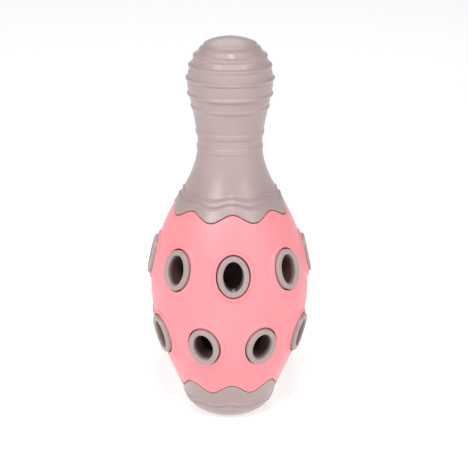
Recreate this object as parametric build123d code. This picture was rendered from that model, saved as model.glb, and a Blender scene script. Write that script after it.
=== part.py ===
from build123d import *

import math
import os

# A hollow soft-rubber treat toy in the shape of a bowling pin. Millimetres, +Z up.
# The pin stands on z = 0, its axis is Z, and the first upper eyelet faces -Y.

# Driving dimensions
HEIGHT = 187.0
PETALS = 8  # eyelets in a row, and waves in each wavy edge
SHELL_WALL = 4.0  # pink skin
CORE_WALL = 2.6  # taupe liner behind it
SEAM_TOP = 112.0  # where skin and liner end under the head
SEAM_BOTTOM = 10.0  # where skin and liner end over the foot
SEAT_DEPTH = 1.3  # how deep skirt and cup are let into the skin
SEAT_GAP = 0.4  # open line between the skin and the wavy edges

# Half outline of the smooth pin without its ribs: (radius, height), foot to crown
OUTLINE = [
    (13.0, 0.0),
    (18.7, 4.0),
    (22.5, 11.5),
    (28.5, 25.0),
    (35.0, 43.7),
    (37.8, 59.0),
    (37.6, 74.0),
    (33.7, 90.0),
    (27.4, 104.3),
    (20.1, 117.5),
    (16.2, 128.5),
    (15.4, 136.0),
    (16.75, 146.0),
    (18.95, 157.0),
    (20.25, 164.5),
    (19.0, 173.0),
    (14.3, 181.5),
]
OUTLINE_SAMPLES = 48  # points on an offset copy of the outline

# Crown and head ribs
CROWN_RADIUS = 13.2
CROWN_EDGE_Z = 184.0
CROWN_LIP = 0.5
CROWN_LIP_DROP = 1.1  # from the crown's edge down to the neck of the groove
RIB_RADIUS = 0.9
RIBS = [(178.4, 0.3), (173.8, 0.2), (167.0, 0.0), (159.4, 0.0), (153.0, -0.1)]  # height, centre out
BAND_HEIGHTS = [141.1, 134.1]
BAND_HALF_HEIGHT = 1.6
BAND_PROUD = 0.4

# Blind hole that cores out the neck and head
NECK_HOLE_RADIUS = 10.5
HEAD_HOLE_RADIUS = 8.5
HEAD_HOLE_TOP = 168.0
HEAD_HOLE_ROUND = 6.0
NECK_SPIGOT_RADIUS = 15.2
NECK_SPIGOT_LENGTH = 7.0

# Wavy edges: middle height and half the rise of the wave, crest in front of each upper eyelet
SKIRT_EDGE = (105.25, 1.95)
SKIRT_PROUD = 0.3
SKIRT_LIPS = [(110.95, 0.95), (114.0, 0.7)]
LIP_HALF_HEIGHT = 0.8
LIP_PROUD = 0.5
CUP_EDGE = (18.6, 2.5)
CUP_PROUD = 0.25
CUP_RIDGES = [(7.0, 0.55), (9.4, 0.5)]
RIDGE_HALF_HEIGHT = 0.5
RIDGE_PROUD = 0.5
WAVE_POINTS = 8  # spline points on each wave
WAVE_INNER = 4.0
WAVE_OUTER = 60.0
WAVE_DEPTH = 1.0  # how far the layers that waves cut reach inside or outside the skin
TALL = 200.0  # longer than anything here
ON_BASE = (Align.CENTER, Align.CENTER, Align.MIN)

# Foot
MOUTH_RADIUS = 9.5
MOUTH_ROUND = 1.2
CUP_SPIGOT_RADIUS = 14.2
CUP_SPIGOT_LENGTH = 6.0

# Eyelets: an oval tube through skin and liner, with a flange held between the two
UPPER_ROW = {"z": 80.3, "tilt": 10.0, "turn": 0.0, "proud": 2.1}
LOWER_ROW = {"z": 44.3, "tilt": -12.0, "turn": 22.5, "proud": 2.3}
TUBE = (7.5, 9.65)  # half width and half height
TUBE_GAP = 0.4
FLANGE_BRIM = 1.8
FLANGE_THICK = 1.2
SPIGOT = (5.7, 8.1)
SPIGOT_PROUD = 1.0
BORE_OUTSIDE = (4.5, 6.9)
BORE_INSIDE = (4.25, 6.55)
BORE_OUTSIDE_AT = 3.0
BORE_INSIDE_AT = -11.0
BAR_END = 6.0  # oval cutting bars end this far outside the skin
FIT_GAP = 0.1  # clearance round the flange in the skin
SPIGOT_GAP = 0.05  # clearance round the inner end in the liner
SPIGOT_OVERLAP = 0.5  # the inner end starts this far inside the flange
LIP_ROUND = 1.0


def outline_curve():
    return Spline(*[(r, 0, z) for r, z in OUTLINE])


def radius_at(z):
    """Radius of the smooth pin at a height."""
    curve = outline_curve()
    low, high = 0.0, 1.0
    while high - low > 1e-6:
        middle = (low + high) / 2
        if (curve @ middle).Z < z:
            low = middle
        else:
            high = middle
    return (curve @ low).X


def revolved(lines):
    """Solid of revolution about Z of the face that these lines close."""
    return revolve(make_face(lines), Axis.Z)


def pin(inset):
    """The smooth pin, shrunk by inset everywhere, or grown where inset is negative."""
    curve = outline_curve()
    points = []
    for i in range(OUTLINE_SAMPLES + 1):
        t = i / OUTLINE_SAMPLES
        along = curve % t
        inward = Vector(-along.Z, 0, along.X).normalized()
        points.append(curve @ t + inward * inset)
    side = Spline(*points)
    foot = Line((0, 0, points[0].Z), points[0])
    crown = Line(points[-1], (0, 0, points[-1].Z))
    axis = Line((0, 0, points[-1].Z), (0, 0, points[0].Z))
    return revolved([foot, side, crown, axis])


def rod(radius, low, high):
    """Round rod on the axis between two heights."""
    return Pos(0, 0, low) * Cylinder(radius, high - low, align=ON_BASE)


def slab(low, high):
    """Everything between two heights."""
    return rod(WAVE_OUTER, low, high)


def wave_ring(radius, middle, rise):
    count = PETALS * WAVE_POINTS
    points = []
    for i in range(count):
        angle = 2 * math.pi * i / count
        z = middle + rise * math.cos(PETALS * angle)
        points.append((radius * math.cos(angle), radius * math.sin(angle), z))
    return Edge.make_spline([Vector(*p) for p in points], periodic=True)


def above_wave(middle, rise):
    """Everything above a wavy surface, outside WAVE_INNER."""
    inner = wave_ring(WAVE_INNER, middle, rise)
    outer = wave_ring(WAVE_OUTER, middle, rise)
    surface = Face.make_surface_from_curves(inner, outer)
    return extrude(surface, amount=TALL, dir=(0, 0, 1))


def below_wave(middle, rise):
    inner = wave_ring(WAVE_INNER, middle, rise)
    outer = wave_ring(WAVE_OUTER, middle, rise)
    surface = Face.make_surface_from_curves(inner, outer)
    return extrude(surface, amount=TALL, dir=(0, 0, -1))


def wavy_rib(middle, rise, half_height, proud):
    """A rib that runs round the pin in waves."""
    skin = pin(-proud) - pin(WAVE_DEPTH)
    return (skin & above_wave(middle - half_height, rise)) & below_wave(middle + half_height, rise)


def crown():
    """The domed top, with a lip over the first groove."""
    edge = (CROWN_RADIUS, 0, CROWN_EDGE_Z)
    top = (0, 0, HEIGHT)
    rise = HEIGHT - CROWN_EDGE_Z
    ball = (CROWN_RADIUS**2 + rise**2) / (2 * rise)
    middle_x = ball * math.sin(math.asin(CROWN_RADIUS / ball) / 2)
    middle = (middle_x, 0, HEIGHT - ball + math.sqrt(ball**2 - middle_x**2))
    base = OUTLINE[-1]
    start = (base[0], 0, base[1])
    neck = (CROWN_RADIUS - CROWN_LIP, 0, CROWN_EDGE_Z - CROWN_LIP_DROP)
    lines = [
        ThreePointArc(edge, middle, top),
        Line(top, (0, 0, base[1])),
        Line((0, 0, base[1]), start),
        Line(start, neck),
        Line(neck, edge),
    ]
    return revolved(lines)


def head_ribs():
    """Round ribs on the head and two low bands on the neck."""
    ribs = []
    for z, out in RIBS:
        ribs.append(Pos(0, 0, z) * Torus(radius_at(z) + out, RIB_RADIUS))
    for z in BAND_HEIGHTS:
        middle = Plane(origin=(radius_at(z), 0, z), x_dir=(1, 0, 0), z_dir=(0, -1, 0))
        ribs.append(revolve(middle * Ellipse(BAND_PROUD, BAND_HALF_HEIGHT), Axis.Z))
    return ribs


def head_hole():
    """Blind cored hole, open to the treat chamber below."""
    low = SEAM_TOP - NECK_SPIGOT_LENGTH - 1
    cone = Cone(NECK_HOLE_RADIUS, HEAD_HOLE_RADIUS, HEAD_HOLE_TOP - low, align=ON_BASE)
    top_edge = cone.edges().sort_by(Axis.Z)[-1]
    return Pos(0, 0, low) * fillet(top_edge, HEAD_HOLE_ROUND)


def head_neck():
    body = (pin(0) & slab(SEAM_TOP, HEIGHT)) + crown()
    body = body + head_ribs()
    skirt = (pin(-SKIRT_PROUD) - pin(SEAT_DEPTH)) & slab(SEAM_BOTTOM, SEAM_TOP)
    body = body + (skirt & above_wave(*SKIRT_EDGE))
    for middle, rise in SKIRT_LIPS:
        body = body + wavy_rib(middle, rise, LIP_HALF_HEIGHT, LIP_PROUD)
    spigot = rod(NECK_SPIGOT_RADIUS, SEAM_TOP - NECK_SPIGOT_LENGTH, SEAM_TOP)
    return (body + spigot) - head_hole()


def base_cup():
    grown = pin(-CUP_PROUD)
    floor = grown & slab(0, SEAM_BOTTOM)
    wall = ((grown - pin(SEAT_DEPTH)) & slab(SEAM_BOTTOM, SEAM_TOP)) & below_wave(*CUP_EDGE)
    body = floor + wall
    for middle, rise in CUP_RIDGES:
        body = body + (wavy_rib(middle, rise, RIDGE_HALF_HEIGHT, RIDGE_PROUD) & slab(0, SEAM_TOP))
    spigot_top = SEAM_BOTTOM + CUP_SPIGOT_LENGTH
    body = body + rod(CUP_SPIGOT_RADIUS, SEAM_BOTTOM, spigot_top)
    body = body - rod(MOUTH_RADIUS, -1, spigot_top + 1)
    rim = body.edges().filter_by(GeomType.CIRCLE)
    mouth = [e for e in rim if abs(e.radius - MOUTH_RADIUS) < 0.01]
    return fillet(mouth, MOUTH_ROUND)


def eyelet_plane(row):
    """Plane on the skin at the front, facing out along the eyelet's own axis."""
    tilt = math.radians(row["tilt"])
    outward = (0, -math.cos(tilt), math.sin(tilt))
    return Plane(origin=(0, -radius_at(row["z"]), row["z"]), x_dir=(1, 0, 0), z_dir=outward)


def oval_bar(row, oval, grow=0.0):
    """Oval bar along the eyelet's axis, through skin and liner and out past both."""
    start = eyelet_plane(row).offset(BORE_INSIDE_AT)
    section = start * Ellipse(oval[0] + grow, oval[1] + grow)
    return extrude(section, amount=BAR_END - BORE_INSIDE_AT)


def bore(row):
    plane = eyelet_plane(row)
    outside = plane.offset(BORE_OUTSIDE_AT) * Ellipse(*BORE_OUTSIDE)
    inside = plane.offset(BORE_INSIDE_AT) * Ellipse(*BORE_INSIDE)
    return loft([inside, outside])


def flange(row, grow=0.0):
    bar = oval_bar(row, TUBE, FLANGE_BRIM + grow)
    return bar & (pin(SHELL_WALL - FLANGE_THICK) - pin(SHELL_WALL))


def eyelet(row):
    wall = SHELL_WALL + CORE_WALL
    body = oval_bar(row, TUBE) & (pin(-row["proud"]) - pin(SHELL_WALL))
    body = body + flange(row)
    spigot = oval_bar(row, SPIGOT) & (pin(SHELL_WALL - SPIGOT_OVERLAP) - pin(wall + SPIGOT_PROUD))
    body = (body + spigot) - bore(row)
    outer_face = body.faces().sort_by(Axis.Y)[0]
    return fillet(outer_face.edges(), LIP_ROUND)


def row_copies(row, shape):
    """The same shape at each place in the row, the first one in front."""
    step = 360 / PETALS
    return [Rot(0, 0, row["turn"] + step * i) * shape for i in range(PETALS)]


def all_places(make):
    """Copies of what make(row) builds, for every eyelet."""
    return row_copies(UPPER_ROW, make(UPPER_ROW)) + row_copies(LOWER_ROW, make(LOWER_ROW))


def body_shell():
    body = (pin(0) - pin(SHELL_WALL)) & slab(SEAM_BOTTOM, SEAM_TOP)
    outer_layer = pin(-WAVE_DEPTH) - pin(SEAT_DEPTH)
    skirt_middle, skirt_rise = SKIRT_EDGE
    cup_middle, cup_rise = CUP_EDGE
    body = body - (outer_layer & above_wave(skirt_middle - SEAT_GAP, skirt_rise))
    body = body - (outer_layer & below_wave(cup_middle + SEAT_GAP, cup_rise))
    body = body - all_places(lambda row: oval_bar(row, TUBE, TUBE_GAP))
    return body - all_places(lambda row: flange(row, FIT_GAP))


def inner_core():
    body = (pin(SHELL_WALL) - pin(SHELL_WALL + CORE_WALL)) & slab(SEAM_BOTTOM, SEAM_TOP)
    return body - all_places(lambda row: oval_bar(row, SPIGOT, SPIGOT_GAP))


def write(shape, name):
    export_step(shape, f"parts/{name}.step")


os.makedirs("parts", exist_ok=True)
write(head_neck(), "head_neck")
write(body_shell(), "body_shell")
write(inner_core(), "inner_core")
write(base_cup(), "base_cup")
for name, row in (("upper", UPPER_ROW), ("lower", LOWER_ROW)):
    for number, copy in enumerate(row_copies(row, eyelet(row)), start=1):
        write(copy, f"{name}_eyelet_{number}")
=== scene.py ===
"""A soft-rubber treat toy in the shape of a bowling pin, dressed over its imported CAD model.

Each piece is a closed mesh made by formula in "skin coordinates": an angle about the pin's axis, a
height on the pin's smooth outline, and a distance out from it. Angle 0 faces -Y and angles grow
towards +X. Lengths are in the design's millimetres; MM turns them into the frame's metres.
"""

import math

import bmesh
import bpy
import numpy as np
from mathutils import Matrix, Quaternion, Vector


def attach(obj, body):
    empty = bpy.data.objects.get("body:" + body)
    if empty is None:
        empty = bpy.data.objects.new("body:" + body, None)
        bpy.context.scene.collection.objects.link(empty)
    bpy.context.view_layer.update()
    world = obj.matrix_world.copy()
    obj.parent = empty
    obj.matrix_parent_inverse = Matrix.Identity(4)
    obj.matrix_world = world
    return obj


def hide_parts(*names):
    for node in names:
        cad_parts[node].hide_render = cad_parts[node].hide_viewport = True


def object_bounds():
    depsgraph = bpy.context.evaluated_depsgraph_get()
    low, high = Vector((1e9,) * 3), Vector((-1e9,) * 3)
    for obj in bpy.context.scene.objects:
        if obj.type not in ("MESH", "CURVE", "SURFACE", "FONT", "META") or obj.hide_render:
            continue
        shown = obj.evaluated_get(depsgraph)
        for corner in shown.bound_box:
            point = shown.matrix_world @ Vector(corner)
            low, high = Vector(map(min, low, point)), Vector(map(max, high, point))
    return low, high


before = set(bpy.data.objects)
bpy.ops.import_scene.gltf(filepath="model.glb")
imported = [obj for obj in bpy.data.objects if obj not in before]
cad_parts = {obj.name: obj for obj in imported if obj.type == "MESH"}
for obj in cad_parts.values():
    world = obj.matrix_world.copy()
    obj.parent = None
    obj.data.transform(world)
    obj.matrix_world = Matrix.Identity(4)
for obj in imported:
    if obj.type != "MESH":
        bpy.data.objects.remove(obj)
cad_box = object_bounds()

# ---------------------------------------------------------------- design dimensions, millimetres

HEIGHT = 187.0
MM = (cad_box[1].z - cad_box[0].z) / HEIGHT
PETALS = 8
SHELL_WALL = 4.0
CORE_WALL = 2.6
SEAM_TOP = 112.0
SEAM_BOTTOM = 10.0
SEAT_DEPTH = 1.3
TOUCH = 0.02  # pieces that touch stand this far apart

# Half outline of the smooth pin: (radius, height), foot to crown
OUTLINE = [
    (12.6, 0.0),
    (18.8, 4.0),
    (22.6, 11.5),
    (28.65, 25.0),
    (35.0, 43.7),
    (37.8, 59.0),
    (37.6, 74.0),
    (33.7, 90.0),
    (27.4, 104.3),
    (20.1, 117.5),
    (16.2, 128.5),
    (15.4, 136.0),
    (16.75, 146.0),
    (18.95, 157.0),
    (20.25, 164.5),
    (19.0, 173.0),
    (14.3, 181.5),
]
OUTLINE_SAMPLES = 4000

# Head: crown, round ribs, low bands
CROWN_TOP = 186.5
CROWN_RADIUS = 12.8
CROWN_EDGE_Z = 183.4
CROWN_ROUND = 1.3  # of the dome's edge
CROWN_FLARE = 0.35  # below the edge the crown widens by this
CROWN_SKIRT = 0.7  # over this height
CROWN_EDGE_DROP = 0.5  # the rounding's foot is this share of CROWN_ROUND below the dome's edge
CROWN_EDGE_RISE = 0.9  # and its top this share above its foot
CROWN_JOIN = 0.1  # the skin's rings start this far above the outline's end
RIBS = [(177.7, 0.9), (173.1, 0.88), (167.2, 0.9), (159.7, 0.85), (153.6, 0.55)]  # height, proud
RIB_HALF = 1.25
BAND_HEIGHTS = [141.1, 134.1]
BAND_PROUD = 0.42
BAND_HALF = 1.6
BAND_FLATNESS = 5.0

# Wavy features: height and half the rise of the wave, crest in front of each upper eyelet
SKIRT_EDGE = (105.25, 1.95)
SKIRT_PROUD = 0.3
SKIRT_LIPS = [(112.95, 0.85), (109.85, 1.1)]
LIP = {"proud": 0.62, "run": 1.2, "step": 0.35}
CUP_EDGE = (18.6, 2.5)
CUP_PROUD = 0.1
CUP_RIDGES = [(9.4, 0.5), (7.0, 0.55)]
RIDGE_PROUD = 0.45
RIDGE_HALF = 0.95
SEAT_GAP = 0.4
EDGE_ROUND = 0.3
WAVE_FADE = 6.0  # waves die away over this height beyond the last wavy feature
CUP_WAVE_FROM = 0.5  # on the foot cup they start at this height
PROUD_FADE = 3.0  # the skirt and the cup come to stand proud of the skin over this height
CUP_PROUD_FROM = 1.0  # on the cup from this height up

# Hollow inside of the head, and its spigot in the liner
NECK_HOLE_RADIUS = 10.5
HEAD_HOLE_RADIUS = 8.5
HEAD_HOLE_TOP = 168.0
HEAD_HOLE_ROUND = 6.0
NECK_SPIGOT_RADIUS = 15.2
NECK_SPIGOT_LENGTH = 7.0

# Foot
FOOT_RADIUS = 12.6
MOUTH_RADIUS = 9.5
MOUTH_ROUND = 1.2
CUP_SPIGOT_RADIUS = 14.2
CUP_SPIGOT_LENGTH = 6.0

# Eyelets: oval tubes, their axes tilted to stand square on the skin; ovals are (half width, half height)
ROWS = {
    "upper": {"z": 80.3, "tilt": math.radians(10.0), "turn": 0.0, "proud": 2.05},
    "lower": {"z": 44.3, "tilt": math.radians(-12.0), "turn": math.pi / PETALS, "proud": 2.3},
}
ROWS_MEET = 62.3
TUBE = (7.5, 9.65)
TUBE_GAP = 0.6  # wider than the fit needs, so that a dark line shows round each tube
LIP_ROUND = 1.0  # of the bore's mouth
RIM_ROUND = 0.55  # of the tube's outer edge
FLANGE_BRIM = 1.8
FLANGE_THICK = 1.2
SPIGOT = (5.7, 8.1)
SPIGOT_PROUD = 1.0
BORE_OUTSIDE = (4.85, 7.1)
BORE_INSIDE = (4.4, 6.65)
BORE_OUTSIDE_AT = 3.0
BORE_INSIDE_AT = -11.0
BORE_MARGIN = 0.3  # rings lower than the spigot by more than this are the bore's
WALL_RING = -1.0  # tubes and windows have a ring this far out, below their rounded edge
BORE_SHADE = 2.0  # how much deeper a bore's wall counts than it lies, so that the painted shade darkens bores soon
SWELL = {"rise": 0.8, "flat": 1.65, "reach": 2.9}  # soft collar in the skin round each eyelet
NUB = {"rise": 1.1, "half": 0.75, "below_face": 1.9}  # moulding nub in the front upper eyelet's bore

# Mesh density
AROUND = 256  # steps once round the pin
CELL_SIDE = AROUND // PETALS  # steps on each side of an eyelet's cell
CELL_RINGS = 22  # from an eyelet's hole to its cell's edge
HIDDEN_CELL_RINGS = 10  # the same, on the surfaces below the skin
CELL_GROWTH = 1.9  # rings lie closer together by the hole
FINE_STEP = 0.17  # up the pin across a rib, band, lip or ridge
HEAD_STEP = 1.1  # up the head between them
CUP_STEP = 0.7
FOOT_STEP = 0.6
BORE_STEP = 0.6
HOLE_STEP = 6.0
CLOSEST = 0.3  # rings nearer than this share of the fine step are left out
CROWN_RINGS = 16
FEATURE_MARGIN = 1.1  # fine steps reach this many half widths out
SHARP_ANGLE = math.radians(50)
BAR_PASSES = 14  # to find where a line meets the skin
EYELET_AROUND = 112
ARC_STEPS = 6

# ---------------------------------------------------------------- the smooth pin


def spline_through(points, samples):
    """Natural cubic spline through the points, sampled evenly, with its unit normals."""
    points = np.array(points)
    steps = np.linalg.norm(np.diff(points, axis=0), axis=1)
    along = np.concatenate([[0.0], np.cumsum(steps)])
    count = len(points)
    matrix = np.eye(count)
    right = np.zeros((count, 2))
    slopes = np.diff(points, axis=0) / steps[:, None]
    for i in range(1, count - 1):
        matrix[i, i - 1 : i + 2] = steps[i - 1], 2 * (steps[i - 1] + steps[i]), steps[i]
        right[i] = 6 * (slopes[i] - slopes[i - 1])
    bend = np.linalg.solve(matrix, right)
    s = np.linspace(0.0, along[-1], samples)
    k = np.clip(np.searchsorted(along, s, side="right") - 1, 0, count - 2)
    before = ((s - along[k]) / steps[k])[:, None]
    after = 1 - before
    width = steps[k][:, None] ** 2 / 6
    curve = after * points[k] + before * points[k + 1]
    curve += width * ((after**3 - after) * bend[k] + (before**3 - before) * bend[k + 1])
    tangent = np.gradient(curve, axis=0)
    tangent /= np.linalg.norm(tangent, axis=1)[:, None]
    normal = np.stack([tangent[:, 1], -tangent[:, 0]], axis=1)
    return curve, normal


CURVE, NORMAL = spline_through(OUTLINE, OUTLINE_SAMPLES)


def radius_at(z):
    return np.interp(z, CURVE[:, 1], CURVE[:, 0])


def skin(angle, z, out):
    """Points at skin coordinates, as an array of x, y, z."""
    normal_r = np.interp(z, CURVE[:, 1], NORMAL[:, 0])
    normal_z = np.interp(z, CURVE[:, 1], NORMAL[:, 1])
    r = radius_at(z) + out * normal_r
    height = z + out * normal_z + 0 * angle
    return np.stack([r * np.sin(angle), -r * np.cos(angle), height], axis=-1)


def axial(angle, r, z):
    """Points at a plain radius and height about the pin's axis."""
    return np.stack([r * np.sin(angle), -r * np.cos(angle), z + 0 * angle], axis=-1)


def wave(angle):
    """Runs from 1 in front of each upper eyelet to -1 between two of them."""
    return np.cos(PETALS * angle)


def bump(distance, proud, half, flatness=2.0):
    """Height of a rounded rib whose feet run smoothly into the skin; flatter for a broad band."""
    across = np.clip(1 - np.abs(distance / half) ** flatness, 0, None)
    return proud * across**1.5


def smooth_step(x):
    x = np.clip(x, 0, 1)
    return x * x * (3 - 2 * x)


def ledge(above, form):
    """Height of a layer that swells down to a rounded lip and steps back in below it."""
    swelling = smooth_step(1 - above / form["run"])
    return form["proud"] * swelling * smooth_step(1 + above / form["step"])


def quarter(steps=ARC_STEPS):
    """(sine, cosine) along a quarter turn, both ends included."""
    turn = np.linspace(0, math.pi / 2, steps + 1)
    return list(zip(np.sin(turn), np.cos(turn)))


# ---------------------------------------------------------------- meshes


def crown_height(r):
    """Height of the crown's shallow dome at a distance from the axis."""
    rise = CROWN_TOP - CROWN_EDGE_Z
    ball = (CROWN_RADIUS**2 + rise**2) / (2 * rise)
    return CROWN_TOP - ball + np.sqrt(ball**2 - np.minimum(r, CROWN_RADIUS) ** 2)


def mark_depth(mesh, bore=None):
    """Stores how far each point lies below the pin's skin, for the materials' painted shade.

    The depth is in millimetres and never negative. bore is an eyelet's (row, angle): points on its
    bore's wall count as BORE_SHADE deeper, so that the painted shade darkens them sooner.
    """
    points = np.zeros(len(mesh.vertices) * 3)
    mesh.vertices.foreach_get("co", points)
    points = points.reshape(-1, 3) / MM
    r = np.hypot(points[:, 0], points[:, 1])
    z = points[:, 2]
    skin_r = np.interp(z, [*CURVE[:, 1], CROWN_EDGE_Z], [*CURVE[:, 0], CROWN_RADIUS])
    depth = np.minimum(np.minimum(skin_r - r, crown_height(r) - z), z)
    if bore:
        row, angle = bore
        beyond = outside_oval(*bar_place(row, turned(points, -angle)), BORE_OUTSIDE)
        depth += BORE_SHADE * smooth_step(1 - beyond / LIP_ROUND)
    attribute = mesh.attributes.new("depth", "FLOAT", "POINT")
    attribute.data.foreach_set("value", np.clip(depth, 0, None).astype(np.float32))


def finished_piece(name, mesh, node, material, bore=None):
    """Puts a mesh in the scene as one piece of the object, in place of its CAD node."""
    mark_depth(mesh, bore)
    mesh.polygons.foreach_set("use_smooth", [True] * len(mesh.polygons))
    mesh.set_sharp_from_angle(angle=SHARP_ANGLE)
    mesh.materials.append(material)
    obj = bpy.data.objects.new(name, mesh)
    bpy.context.scene.collection.objects.link(obj)
    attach(obj, "root")
    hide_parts(node)
    return obj


def welded_mesh(name, patches):
    """One mesh of several grids of points; points that meet are welded and faces turned outwards."""
    points = []
    faces = []
    for grid, closed in patches:
        start = sum(len(p) for p in points)
        rows, columns = grid.shape[:2]
        points.append(grid.reshape(-1, 3))
        wrap = columns if closed else columns - 1
        for i in range(rows - 1):
            for j in range(wrap):
                k = (j + 1) % columns
                faces.append(
                    (
                        start + i * columns + j,
                        start + i * columns + k,
                        start + (i + 1) * columns + k,
                        start + (i + 1) * columns + j,
                    )
                )
    mesh = bpy.data.meshes.new(name)
    mesh.from_pydata((np.concatenate(points) * MM).tolist(), [], faces)
    work = bmesh.new()
    work.from_mesh(mesh)
    bmesh.ops.remove_doubles(work, verts=work.verts, dist=1e-6)
    bmesh.ops.dissolve_degenerate(work, edges=work.edges, dist=1e-7)
    bmesh.ops.recalc_face_normals(work, faces=work.faces)
    work.to_mesh(mesh)
    work.free()
    return mesh


def turned_mesh(name, rings, looped):
    """Closed mesh of rings about the axis, which ends on the axis or loops back to the first ring."""
    if looped:
        rings = rings + [rings[0]]
    return welded_mesh(name, [(np.array(rings), True)])


TURN = np.linspace(0, 2 * math.pi, AROUND, endpoint=False)

# ---------------------------------------------------------------- head and neck


def between(start, end, step):
    """Evenly spaced values from start to end, both included, about step apart."""
    count = max(2, int(math.ceil(abs(end - start) / step)) + 1)
    return list(np.linspace(start, end, count))


def stations(start, end, features, fine, coarse):
    """Heights from start to end, close together across each feature (height, half width)."""
    values = [start, end]
    low, high = min(start, end), max(start, end)
    edges = [low, high]
    for height, half in features:
        values += [v for v in between(height - half, height + half, fine) if low < v < high]
        edges += [height - half, height + half]
    edges = sorted(e for e in edges if low <= e <= high)
    for a, b in zip(edges, edges[1:]):
        middle = (a + b) / 2
        if not any(abs(middle - height) < half for height, half in features):
            values += between(a, b, coarse)
    values = sorted(set(round(v, 4) for v in values))
    kept = [values[0]]
    for v in values[1:]:
        if v - kept[-1] > fine * CLOSEST:
            kept.append(v)
    kept[-1] = values[-1]
    return kept if start < end else kept[::-1]


def head_neck():
    rings = []
    for r in np.linspace(0, CROWN_RADIUS - CROWN_ROUND, CROWN_RINGS):
        rings.append(axial(TURN, r, crown_height(r)))
    edge_z = CROWN_EDGE_Z - CROWN_ROUND * CROWN_EDGE_DROP
    for sine, cosine in quarter()[1:]:
        r = CROWN_RADIUS - CROWN_ROUND + CROWN_ROUND * sine
        rings.append(axial(TURN, r, edge_z + CROWN_ROUND * CROWN_EDGE_RISE * cosine))
    for sine, cosine in quarter()[1:]:
        rings.append(axial(TURN, CROWN_RADIUS + CROWN_FLARE * (1 - cosine), edge_z - CROWN_SKIRT * sine))
    top = OUTLINE[-1][1] + CROWN_JOIN
    bottom, edge_rise = SKIRT_EDGE
    features = [(z, RIB_HALF * FEATURE_MARGIN) for z, _ in RIBS]
    features += [(z, BAND_HALF * FEATURE_MARGIN) for z in BAND_HEIGHTS]
    features += [(z + LIP["run"] / 2 - LIP["step"], LIP["run"] / 2 + LIP["step"]) for z, _ in SKIRT_LIPS]
    heights = [SKIRT_LIPS[0][0] + WAVE_FADE, SKIRT_LIPS[0][0], SKIRT_LIPS[1][0], bottom]
    rises = [0.0, SKIRT_LIPS[0][1], SKIRT_LIPS[1][1], edge_rise]
    for z in stations(top, bottom + EDGE_ROUND, features, FINE_STEP, HEAD_STEP):
        out = sum(bump(z - middle, proud, RIB_HALF) for middle, proud in RIBS)
        out += sum(bump(z - middle, BAND_PROUD, BAND_HALF, BAND_FLATNESS) for middle in BAND_HEIGHTS)
        out += sum(ledge(z - edge, LIP) for edge, _ in SKIRT_LIPS)
        out += SKIRT_PROUD * smooth_step((SEAM_TOP - z) / PROUD_FADE)
        lifted = z + np.interp(z, heights[::-1], rises[::-1]) * wave(TURN)
        rings.append(skin(TURN, np.minimum(lifted, top), out))
    edge = bottom + edge_rise * wave(TURN)
    for sine, cosine in quarter()[1:]:
        z = edge + EDGE_ROUND * (1 - sine)
        rings.append(skin(TURN, z, SKIRT_PROUD - EDGE_ROUND * (1 - cosine)))
    seat = TOUCH - SEAT_DEPTH
    rings.append(skin(TURN, edge, seat))
    rings.append(skin(TURN, SEAM_TOP + 0 * TURN, seat))
    rings.append(axial(TURN, NECK_SPIGOT_RADIUS, SEAM_TOP + TOUCH))
    spigot_bottom = SEAM_TOP - NECK_SPIGOT_LENGTH
    rings.append(axial(TURN, NECK_SPIGOT_RADIUS, spigot_bottom))
    rings.append(axial(TURN, NECK_HOLE_RADIUS, spigot_bottom))
    for z in between(spigot_bottom, HEAD_HOLE_TOP - HEAD_HOLE_ROUND, HOLE_STEP)[1:]:
        share = (z - spigot_bottom) / (HEAD_HOLE_TOP - spigot_bottom)
        r = NECK_HOLE_RADIUS + (HEAD_HOLE_RADIUS - NECK_HOLE_RADIUS) * share
        rings.append(axial(TURN, r, z))
    hole_flat = HEAD_HOLE_RADIUS - HEAD_HOLE_ROUND
    for sine, cosine in quarter()[1:]:
        z = HEAD_HOLE_TOP - HEAD_HOLE_ROUND * (1 - sine)
        rings.append(axial(TURN, hole_flat + HEAD_HOLE_ROUND * cosine, z))
    rings.append(axial(TURN, 0.0, HEAD_HOLE_TOP))
    return turned_mesh("head_neck_rubber", rings, looped=False)


# ---------------------------------------------------------------- foot


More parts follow.
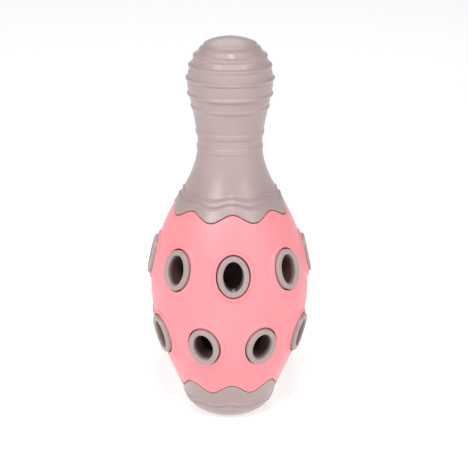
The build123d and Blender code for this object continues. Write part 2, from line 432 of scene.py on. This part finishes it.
def base_cup():
    top, edge_rise = CUP_EDGE
    rings = []
    for sine, cosine in quarter():
        r = MOUTH_RADIUS + MOUTH_ROUND * (1 - cosine)
        rings.append(axial(TURN, r, MOUTH_ROUND * (1 - sine)))
    for r in between(MOUTH_RADIUS + MOUTH_ROUND, FOOT_RADIUS, FOOT_STEP)[1:-1]:
        rings.append(axial(TURN, r, 0.0))
    heights = [CUP_WAVE_FROM, CUP_RIDGES[1][0], CUP_RIDGES[0][0], top]
    rises = [0.0, CUP_RIDGES[1][1], CUP_RIDGES[0][1], edge_rise]
    features = [(z, RIDGE_HALF * FEATURE_MARGIN) for z, _ in CUP_RIDGES]
    for z in stations(0.0, top - EDGE_ROUND, features, FINE_STEP, CUP_STEP):
        out = sum(bump(z - middle, RIDGE_PROUD, RIDGE_HALF) for middle, _ in CUP_RIDGES)
        out += CUP_PROUD * smooth_step((z - CUP_PROUD_FROM) / PROUD_FADE)
        lifted = z + np.interp(z, heights, rises) * wave(TURN)
        rings.append(skin(TURN, lifted, out))
    edge = top + edge_rise * wave(TURN)
    for sine, cosine in quarter()[1:]:
        rings.append(skin(TURN, edge - EDGE_ROUND * (1 - sine), CUP_PROUD - EDGE_ROUND * (1 - cosine)))
    seat = TOUCH - SEAT_DEPTH
    rings.append(skin(TURN, edge, seat))
    rings.append(skin(TURN, SEAM_BOTTOM + 0 * TURN, seat))
    rings.append(axial(TURN, CUP_SPIGOT_RADIUS, SEAM_BOTTOM - TOUCH))
    spigot_top = SEAM_BOTTOM + CUP_SPIGOT_LENGTH
    rings.append(axial(TURN, CUP_SPIGOT_RADIUS, spigot_top))
    rings.append(axial(TURN, MOUTH_RADIUS, spigot_top))
    return turned_mesh("base_cup_rubber", rings, looped=True)


# ---------------------------------------------------------------- eyelets


def on_bar(row, u, v, out):
    """Where lines along the front eyelet's axis, at (u, v) across it, meet the skin grown by out."""
    grown = CURVE + out * NORMAL
    lean = math.sin(row["tilt"])
    level = math.cos(row["tilt"])
    t = np.zeros_like(u) + out
    for _ in range(BAR_PASSES):
        y = -radius_at(row["z"]) + v * lean - t * level
        z = row["z"] + v * level + t * lean
        t = t - (np.hypot(u, y) - np.interp(z, grown[:, 1], grown[:, 0]))
    return np.stack([u, y, z], axis=-1)


def skin_place(points, out):
    """Angle and skin height of points that lie a distance out from the skin."""
    angle = np.arctan2(points[..., 0], -points[..., 1])
    grown_z = CURVE[:, 1] + out * NORMAL[:, 1]
    return angle, np.interp(points[..., 2], grown_z, CURVE[:, 1])


def bar_place(row, points):
    """(u, v) across the front eyelet's axis."""
    y = points[..., 1] + radius_at(row["z"])
    z = points[..., 2] - row["z"]
    return points[..., 0], y * math.sin(row["tilt"]) + z * math.cos(row["tilt"])


def outside_oval(u, v, oval):
    """Distance from an oval's edge, close to true near it and negative inside."""
    scaled = np.hypot(u / oval[0], v / oval[1])
    return np.hypot(u, v) * (1 - 1 / np.maximum(scaled, 1e-6))


def swell(distance):
    fall = (distance - SWELL["flat"]) / (SWELL["reach"] - SWELL["flat"])
    return SWELL["rise"] * (1 - smooth_step(fall))


def turned(points, angle):
    """The points turned about Z from the front to another angle."""
    c, s = math.cos(angle), math.sin(angle)
    x = points[..., 0] * c - points[..., 1] * s
    y = points[..., 0] * s + points[..., 1] * c
    return np.stack([x, y, points[..., 2]], axis=-1)


def eyelet_profile(face):
    """(half width, half height, out from the skin) of an eyelet's rings, flange first, bore last.

    face is how far the eyelet's outer face stands out from the skin.
    """
    wide, tall = TUBE
    wall = SHELL_WALL + CORE_WALL
    rings = [(FLANGE_BRIM, TOUCH - SHELL_WALL), (FLANGE_BRIM, FLANGE_THICK - SHELL_WALL - TOUCH)]
    rings += [(0.0, FLANGE_THICK - SHELL_WALL - TOUCH), (0.0, WALL_RING), (0.0, 0.0)]
    for sine, cosine in quarter():
        rings.append((-RIM_ROUND * (1 - cosine), face - RIM_ROUND * (1 - sine)))
    profile = [(wide + grow, tall + grow, out) for grow, out in rings]

    def bore(out):
        share = (BORE_OUTSIDE_AT - out) / (BORE_OUTSIDE_AT - BORE_INSIDE_AT)
        return [a + (b - a) * share for a, b in zip(BORE_OUTSIDE, BORE_INSIDE)]

    for sine, cosine in quarter():
        out = face - LIP_ROUND * (1 - cosine)
        half_width, half_height = bore(out)
        grow = LIP_ROUND * (1 - sine)
        profile.append((half_width + grow, half_height + grow, out))
    for out in between(face - LIP_ROUND, -wall - SPIGOT_PROUD, BORE_STEP)[1:]:
        profile.append((*bore(out), out))
    profile.append((*SPIGOT, -wall - SPIGOT_PROUD))
    profile.append((*SPIGOT, TOUCH - SHELL_WALL))
    return profile


def eyelet(name, row, angle, with_nub):
    phase = np.linspace(0, 2 * math.pi, EYELET_AROUND, endpoint=False)
    rings = []
    for half_width, half_height, out in eyelet_profile(row["proud"]):
        u, v = half_width * np.sin(phase), half_height * np.cos(phase)
        in_bore = half_height < SPIGOT[1] - BORE_MARGIN
        if with_nub and in_bore:
            off_centre = np.hypot(u, out - row["proud"] + NUB["below_face"]) / NUB["half"]
            v = v + NUB["rise"] * np.exp(-(off_centre**4)) * (v < 0)
        points = on_bar(row, u, v, out)
        rings.append(turned(points, angle))
    return turned_mesh(name, rings, looped=True)


# ---------------------------------------------------------------- skin and liner


def cell_outline(low_edge, high_edge):
    """Angle and height round an eyelet's cell, once round from its top left corner."""
    half = math.pi / PETALS
    across = np.linspace(-half, half, CELL_SIDE + 1)
    up = np.linspace(0, 1, CELL_SIDE + 1)
    low = low_edge(across)
    high = high_edge(across)
    right = low[-1] + (high[-1] - low[-1]) * up
    left = low[0] + (high[0] - low[0]) * up
    angle = [across[:-1], np.full(CELL_SIDE, half), across[:0:-1], np.full(CELL_SIDE, -half)]
    height = [high[:-1], right[:0:-1], low[:0:-1], left[:-1]]
    return np.concatenate(angle), np.concatenate(height)


def cell_rings(row, low_edge, high_edge, oval, out, collar):
    """Rings of one cell's surface, from the oval hole to the cell's outline, and their points' phase.

    The phase is each point's turn round the hole, so that the window's own rings can meet it.
    """
    edge_angle, edge_z = cell_outline(low_edge, high_edge)
    edge_u, edge_v = bar_place(row, skin(edge_angle, edge_z, out))
    phase = np.arctan2(edge_u / oval[0], edge_v / oval[1])
    hole_u, hole_v = oval[0] * np.sin(phase), oval[1] * np.cos(phase)
    hole_angle, hole_z = skin_place(on_bar(row, hole_u, hole_v, out), out)
    count = CELL_RINGS if collar else HIDDEN_CELL_RINGS
    rings = []
    for i in range(count + 1):
        share = (math.exp(CELL_GROWTH * i / count) - 1) / (math.exp(CELL_GROWTH) - 1)
        angle = hole_angle + (edge_angle - hole_angle) * share
        z = hole_z + (edge_z - hole_z) * share
        raised = out
        if collar:
            place = bar_place(row, skin(angle, z, out))
            raised = out + swell(outside_oval(*place, TUBE))
        rings.append(skin(angle, z, raised))
    return rings, phase


def windowed_wall(name, window, outer, inner, top, bottom, collar):
    """A wall between two depths with a window for each eyelet, closed at its top and bottom edges.

    window is the hole's profile of (half width, half height, out), outside first; top and bottom are
    the rims' rings of (height at each angle, out), starting at the outer surface's own edge.
    """
    patches = []
    meet = lambda angle: ROWS_MEET + 0 * angle
    for key, row in ROWS.items():
        shift = row["turn"]
        high = (lambda angle: top[0][0](angle + shift)) if key == "upper" else meet
        low = (lambda angle: bottom[0][0](angle + shift)) if key == "lower" else meet
        outside, phase = cell_rings(row, low, high, window[0][:2], outer, collar)
        inside, _ = cell_rings(row, low, high, window[-1][:2], inner, False)
        throat = [outside[0]]
        for half_width, half_height, out in window[1:-1]:
            throat.append(on_bar(row, half_width * np.sin(phase), half_height * np.cos(phase), out))
        throat.append(inside[0])
        for i in range(PETALS):
            angle = shift + 2 * math.pi * i / PETALS
            for grid in (outside, throat, inside):
                patches.append((turned(np.array(grid), angle), True))
    for rim in (top, bottom):
        rings = [skin(TURN, height(TURN), out) for height, out in rim]
        patches.append((np.array(rings), True))
    return welded_mesh(name, patches)


def level(z):
    return lambda angle: z + 0 * angle


def waved(middle, rise):
    return lambda angle: middle + rise * wave(angle)


def body_shell():
    skirt_middle, skirt_rise = SKIRT_EDGE
    cup_middle, cup_rise = CUP_EDGE
    wide, tall = TUBE[0] + TUBE_GAP, TUBE[1] + TUBE_GAP
    window = []
    for sine, cosine in quarter():
        grow = EDGE_ROUND * (1 - sine)
        window.append((wide + grow, tall + grow, SWELL["rise"] - EDGE_ROUND * (1 - cosine)))
    recess = FLANGE_THICK - SHELL_WALL
    brim = FLANGE_BRIM - TUBE_GAP + TOUCH
    window += [(wide, tall, WALL_RING), (wide, tall, recess)]
    window += [(wide + brim, tall + brim, recess), (wide + brim, tall + brim, TOUCH - SHELL_WALL)]
    top = []
    bottom = []
    for sine, cosine in quarter():
        out = -EDGE_ROUND * (1 - cosine)
        drop = EDGE_ROUND * (1 - sine) + SEAT_GAP
        top.append((waved(skirt_middle - drop, skirt_rise), out))
        bottom.append((waved(cup_middle + drop, cup_rise), out))
    top += [(waved(skirt_middle - SEAT_GAP, skirt_rise), -SEAT_DEPTH), (level(SEAM_TOP), -SEAT_DEPTH)]
    bottom += [(waved(cup_middle + SEAT_GAP, cup_rise), -SEAT_DEPTH), (level(SEAM_BOTTOM), -SEAT_DEPTH)]
    inner = TOUCH - SHELL_WALL
    top += [(level(SEAM_TOP), inner), (top[0][0], inner)]
    bottom += [(level(SEAM_BOTTOM), inner), (bottom[0][0], inner)]
    return windowed_wall("body_shell_rubber", window, 0.0, inner, top, bottom, collar=True)


def inner_core():
    outer = -SHELL_WALL - TOUCH
    inner = -SHELL_WALL - CORE_WALL
    oval = [half + 2 * TOUCH for half in SPIGOT]
    window = [(*oval, outer), (*oval, inner)]
    top = [(level(SEAM_TOP), outer), (level(SEAM_TOP), inner)]
    bottom = [(level(SEAM_BOTTOM), outer), (level(SEAM_BOTTOM), inner)]
    return windowed_wall("inner_core_rubber", window, outer, inner, top, bottom, collar=False)


# ---------------------------------------------------------------- materials

NOISE_SPAN = (0.3, 0.7)  # most of a noise texture's values lie between these
SHINIER = 0.05  # how far the roughness strays below and above its value
DULLER = 0.06
MIX = {"factor": 0, "first": 6, "second": 7, "result": 2}  # a colour mix node's sockets


def rubber(name, light, deep, shade, shaded_from, blush, roughness):
    """Satin moulded rubber: faint clouding of the colour, uneven sheen, a fine moulded grain and painted
    shade.

    shade is the painted shade: the colour is multiplied by it in seams and bores, growing between the
    two depths below the skin that shaded_from gives in millimetres.
    """
    material = bpy.data.materials.new(name)
    material.use_nodes = True
    nodes = material.node_tree.nodes
    links = material.node_tree.links
    shader = nodes["Principled BSDF"]
    place = nodes.new("ShaderNodeTexCoord")

    def noise(scale, detail, roughness_share=0.5):
        node = nodes.new("ShaderNodeTexNoise")
        node.inputs["Scale"].default_value = scale
        node.inputs["Detail"].default_value = detail
        node.inputs["Roughness"].default_value = roughness_share
        links.new(place.outputs["Object"], node.inputs["Vector"])
        return node

    def relief(source, strength, distance):
        node = nodes.new("ShaderNodeBump")
        node.inputs["Strength"].default_value = strength
        node.inputs["Distance"].default_value = distance
        links.new(source.outputs["Fac"], node.inputs["Height"])
        return node

    cloud = noise(scale=38.0, detail=3.0)
    tint = nodes.new("ShaderNodeValToRGB")
    tint.color_ramp.elements[0].position = NOISE_SPAN[0]
    tint.color_ramp.elements[0].color = (*deep, 1)
    tint.color_ramp.elements[1].position = NOISE_SPAN[1]
    tint.color_ramp.elements[1].color = (*light, 1)
    links.new(cloud.outputs["Fac"], tint.inputs["Fac"])

    # Painted shade: the colour darkens with depth below the skin, in seams and bores, where shade falls.
    depth = nodes.new("ShaderNodeAttribute")
    depth.attribute_name = "depth"
    painted_shade_share = nodes.new("ShaderNodeMapRange")
    painted_shade_share.inputs["From Min"].default_value = shaded_from[0]
    painted_shade_share.inputs["From Max"].default_value = shaded_from[1]
    links.new(depth.outputs["Fac"], painted_shade_share.inputs["Value"])
    painted_shade_mix = nodes.new("ShaderNodeMix")
    painted_shade_mix.data_type = "RGBA"
    painted_shade_mix.blend_type = "MULTIPLY"
    painted_shade_mix.inputs[MIX["second"]].default_value = (*shade, 1)
    links.new(painted_shade_share.outputs["Result"], painted_shade_mix.inputs[MIX["factor"]])
    links.new(tint.outputs["Color"], painted_shade_mix.inputs[MIX["first"]])
    links.new(painted_shade_mix.outputs[MIX["result"]], shader.inputs["Base Color"])

    handled = noise(scale=90.0, detail=4.0, roughness_share=0.6)
    gloss = nodes.new("ShaderNodeMapRange")
    gloss.inputs["From Min"].default_value = NOISE_SPAN[0]
    gloss.inputs["From Max"].default_value = NOISE_SPAN[1]
    gloss.inputs["To Min"].default_value = roughness - SHINIER
    gloss.inputs["To Max"].default_value = roughness + DULLER
    links.new(handled.outputs["Fac"], gloss.inputs["Value"])
    links.new(gloss.outputs["Result"], shader.inputs["Roughness"])

    fine = relief(noise(scale=2600.0, detail=2.0), strength=0.12, distance=0.00012)
    broad = relief(noise(scale=260.0, detail=3.0), strength=0.1, distance=0.0004)
    links.new(fine.outputs["Normal"], broad.inputs["Normal"])
    links.new(broad.outputs["Normal"], shader.inputs["Normal"])

    shader.inputs["Subsurface Weight"].default_value = 0.12
    shader.inputs["Subsurface Radius"].default_value = blush
    shader.inputs["Subsurface Scale"].default_value = 1.5 * MM
    shader.inputs["IOR"].default_value = 1.48
    shader.inputs["Sheen Weight"].default_value = 0.15
    shader.inputs["Sheen Roughness"].default_value = 0.4
    return material


# ---------------------------------------------------------------- the object

taupe = rubber(
    "taupe_rubber",
    light=(0.425, 0.33, 0.32),
    deep=(0.39, 0.3, 0.29),
    # painted shade in bores and seams
    shade=(0.27, 0.17, 0.175),
    shaded_from=(0.5, 3.5),
    blush=(1.0, 0.6, 0.5),
    roughness=0.33,
)
pink = rubber(
    "pink_rubber",
    light=(0.97, 0.305, 0.335),
    deep=(0.92, 0.275, 0.31),
    # painted shade, dark red, in the seams and round each eyelet's tube
    shade=(0.6, 0.12, 0.18),
    shaded_from=(0.0, 0.7),
    blush=(1.0, 0.35, 0.3),
    roughness=0.4,
)

finished_piece("head_neck_rubber", head_neck(), "head_neck", taupe)
finished_piece("base_cup_rubber", base_cup(), "base_cup", taupe)
finished_piece("body_shell_rubber", body_shell(), "body_shell", pink)
finished_piece("inner_core_rubber", inner_core(), "inner_core", taupe)
for key, row in ROWS.items():
    for i in range(PETALS):
        name = f"{key}_eyelet_{i + 1}"
        angle = row["turn"] + 2 * math.pi * i / PETALS
        mesh = eyelet(name + "_rubber", row, angle, with_nub=name == "upper_eyelet_1")
        finished_piece(name + "_rubber", mesh, name, taupe, bore=(row, angle))

# ---------------------------------------------------------------- floor, light and camera

FLOOR_HALF = 4.0  # metres
BRIGHT_BELOW = math.radians(11)  # the world's bright band, above the horizon
DIM_ABOVE = math.radians(16)


def studio_floor():
    """Pale floor, far larger than the view, that glows so that it comes out nearly white."""
    half = FLOOR_HALF
    mesh = bpy.data.meshes.new("studio_floor")
    corners = [(-half, -half, 0), (half, -half, 0), (half, half, 0), (-half, half, 0)]
    mesh.from_pydata(corners, [], [(0, 1, 2, 3)])
    material = bpy.data.materials.new("studio_floor")
    material.use_nodes = True
    shader = material.node_tree.nodes["Principled BSDF"]
    shader.inputs["Base Color"].default_value = (0.6, 0.6, 0.6, 1)
    shader.inputs["Roughness"].default_value = 0.7
    shader.inputs["Emission Color"].default_value = (1, 1, 1, 1)
    shader.inputs["Emission Strength"].default_value = 0.6
    mesh.materials.append(material)
    obj = bpy.data.objects.new("studio_floor", mesh)
    bpy.context.scene.collection.objects.link(obj)


def soft_light(name, place, target, size, power):
    """Square softbox at place, turned towards target; metres and watts."""
    data = bpy.data.lights.new(name, "AREA")
    data.size = size
    data.energy = power
    obj = bpy.data.objects.new(name, data)
    obj.location = place
    aim = Vector(target) - Vector(place)
    obj.rotation_euler = aim.to_track_quat("-Z", "Y").to_euler()
    bpy.context.scene.collection.objects.link(obj)


def pale_world(horizon, overhead):
    """White surroundings, bright round the horizon and dimmer overhead."""
    world = bpy.data.worlds.new("pale_world")
    world.use_nodes = True
    nodes = world.node_tree.nodes
    links = world.node_tree.links
    place = nodes.new("ShaderNodeTexCoord")
    split = nodes.new("ShaderNodeSeparateXYZ")
    strength = nodes.new("ShaderNodeMapRange")
    strength.inputs["From Min"].default_value = math.sin(BRIGHT_BELOW)
    strength.inputs["From Max"].default_value = math.sin(DIM_ABOVE)
    strength.inputs["To Min"].default_value = horizon
    strength.inputs["To Max"].default_value = overhead
    links.new(place.outputs["Generated"], split.inputs["Vector"])
    links.new(split.outputs["Z"], strength.inputs["Value"])
    links.new(strength.outputs["Result"], nodes["Background"].inputs["Strength"])
    nodes["Background"].inputs["Color"].default_value = (1, 1, 1, 1)
    bpy.context.scene.world = world


def photo_camera():
    """The view: nearly level, a little from the left, aimed at the middle of the pin."""
    elevation = math.radians(17.65)
    azimuth = math.radians(-3.0)
    roll = math.radians(0.26)
    distance = 823 * MM
    side_shift = 2.13 * MM
    aim_height = 89.7 * MM
    right = Vector((math.cos(azimuth), math.sin(azimuth), 0))
    back = Vector(
        (
            math.sin(azimuth) * math.cos(elevation),
            -math.cos(azimuth) * math.cos(elevation),
            math.sin(elevation),
        )
    )
    target = Vector((0, 0, aim_height)) + right * side_shift
    data = bpy.data.cameras.new("photo_camera")
    data.sensor_width = 36.0
    data.lens = 130.8
    data.clip_start = 0.05
    data.clip_end = 50.0
    obj = bpy.data.objects.new("photo_camera", data)
    obj.location = target + back * distance
    level_view = back.to_track_quat("Z", "Y")
    obj.rotation_euler = (level_view @ Quaternion((0, 0, 1), roll)).to_euler()
    bpy.context.scene.collection.objects.link(obj)
    bpy.context.scene.camera = obj


studio_floor()
middle = (0, 0, 0.09)
soft_light("key_above", (0.0, -1.0, 1.5), middle, size=0.3, power=11.0)
soft_light("key_left", (-0.9, -1.0, 1.2), middle, size=0.6, power=12.5)
soft_light("key_right", (0.9, -1.0, 1.2), middle, size=0.6, power=8.5)
soft_light("back_above", (0.0, 1.2, 1.4), middle, size=1.0, power=8.0)
pale_world(horizon=0.9, overhead=0.04)
photo_camera()
bpy.context.scene.view_settings.view_transform = "Standard"
